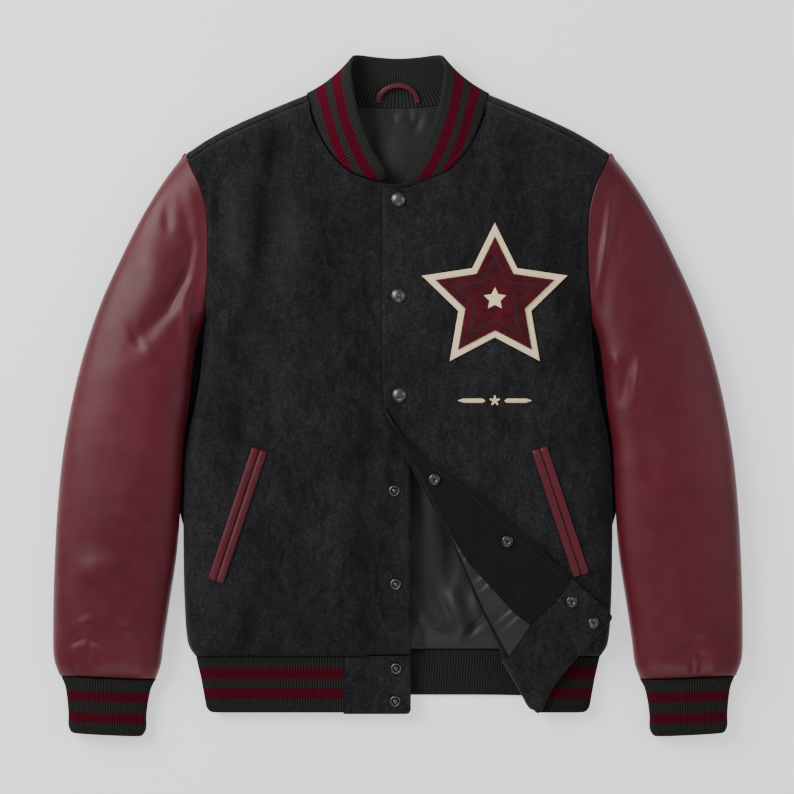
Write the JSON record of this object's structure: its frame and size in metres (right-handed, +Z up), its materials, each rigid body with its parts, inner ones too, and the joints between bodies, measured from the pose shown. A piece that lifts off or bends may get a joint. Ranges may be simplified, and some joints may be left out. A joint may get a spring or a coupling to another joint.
{
  "type": "varsity jacket",
  "caption": "Wool varsity jacket laid flat, with leather sleeves, striped rib collar, cuffs and hem, snap front with one corner turned back, and a plain star patch.",
  "frame": {"origin": "centre of the bounding box in X and Y, at the level of the surface that the jacket lies on", "axes": "+X to the right of the laid jacket as it is looked down on, +Y towards its collar, +Z up out of its front"},
  "size_m": [0.7604, 0.7522, 0.0459],
  "materials": {
    "wool": "felted charcoal wool, matte",
    "leather": "maroon, soft satin",
    "knit": "rib knit, matte, with two maroon bands",
    "satin": "dark grey satin lining, matte sheen",
    "felt": "cream felt, matte",
    "chenille": "deep maroon looped pile, matte",
    "snap_metal": "dark nickel, satin"
  },
  "bodies": {
    "root": {"back": "wool", "front_left": "wool", "front_right": "wool", "facing_right": "wool", "hem_block_left": "wool", "hem_block_right": "wool", "sleeve_left_upper": "leather", "sleeve_left_under": "leather", "sleeve_right_upper": "leather", "sleeve_right_under": "leather", "welt_left_inner": "leather", "welt_left_outer": "leather", "welt_right_inner": "leather", "welt_right_outer": "leather", "hang_loop": "leather", "collar": "knit", "cuff_left": "knit", "cuff_right": "knit", "hem_back": "knit", "hem_left": "knit", "hem_right": "knit", "back_lining": "satin", "lining_right": "satin", "patch_felt": "felt", "patch_chenille": "chenille", "snap_cap_1": "snap_metal", "snap_cap_2": "snap_metal", "snap_cap_3": "snap_metal", "snap_stud_1": "snap_metal", "snap_stud_2": "snap_metal", "snap_stud_3": "snap_metal", "snap_stud_4": "snap_metal", "snap_socket_1": "snap_metal", "snap_socket_2": "snap_metal", "snap_socket_3": "snap_metal", "snap_socket_4": "snap_metal"}
  },
  "joints": []
}
